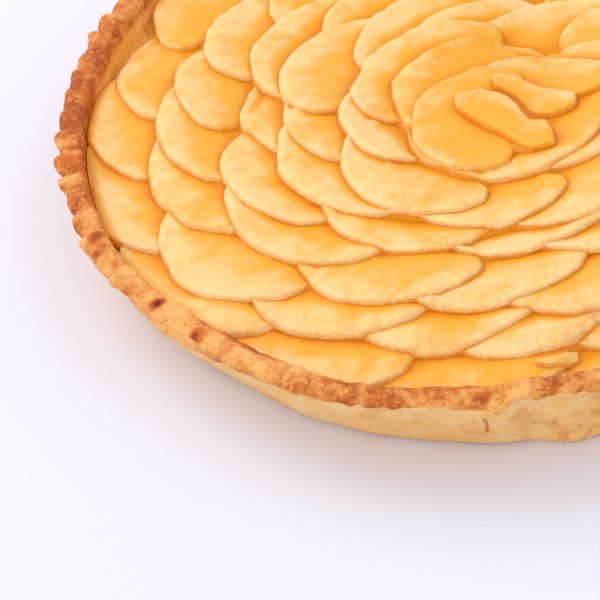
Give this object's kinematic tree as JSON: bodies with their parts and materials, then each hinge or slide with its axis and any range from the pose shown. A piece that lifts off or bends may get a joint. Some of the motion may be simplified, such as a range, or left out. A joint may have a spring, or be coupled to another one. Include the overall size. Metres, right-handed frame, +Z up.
{
  "type": "apple tart",
  "caption": "Round apple tart: a pinched shortcrust case filled with thin half-round apple slices, overlapped in rings that close to a rose and lightly glazed.",
  "frame": {"origin": "middle of the tart's flat underside, on the surface that it stands on", "axes": "+Z up out of the tart, -Y towards the side nearest the camera, +X to the right of that view"},
  "size_m": [0.2412, 0.2415, 0.0319],
  "materials": {
    "crust": "baked shortcrust, pale gold on the wall and toasted brown on the rim",
    "apple": "baked apple flesh, pale yellow at the edges and amber where the glaze gathers"
  },
  "bodies": {
    "root": {"chip": "apple", "crust": "crust", "heart": "apple", "ring_4": "apple", "ring_5": "apple", "slice_1_01": "apple", "slice_1_02": "apple", "slice_1_03": "apple", "slice_1_04": "apple", "slice_1_05": "apple", "slice_1_06": "apple", "slice_1_07": "apple", "slice_1_08": "apple", "slice_1_09": "apple", "slice_1_10": "apple", "slice_1_11": "apple", "slice_1_12": "apple", "slice_1_13": "apple", "slice_1_14": "apple", "slice_1_15": "apple", "slice_1_16": "apple", "slice_1_17": "apple", "slice_1_18": "apple", "slice_2_01": "apple", "slice_2_02": "apple", "slice_2_03": "apple", "slice_2_04": "apple", "slice_2_05": "apple", "slice_2_06": "apple", "slice_2_07": "apple", "slice_2_08": "apple", "slice_2_09": "apple", "slice_2_10": "apple", "slice_2_11": "apple", "slice_2_12": "apple", "slice_2_13": "apple", "slice_2_14": "apple", "slice_2_15": "apple", "slice_2_16": "apple", "slice_2_17": "apple", "slice_2_18": "apple", "slice_2_19": "apple", "slice_3_01": "apple", "slice_3_02": "apple", "slice_3_03": "apple", "slice_3_04": "apple", "slice_3_05": "apple", "slice_3_06": "apple", "slice_3_07": "apple", "slice_3_08": "apple", "slice_3_09": "apple", "slice_3_10": "apple", "slice_3_11": "apple", "slice_3_12": "apple", "slice_3_13": "apple", "slice_3_14": "apple", "slice_3_15": "apple", "slice_3_16": "apple", "strip_long": "apple", "strip_short": "apple"}
  },
  "joints": []
}
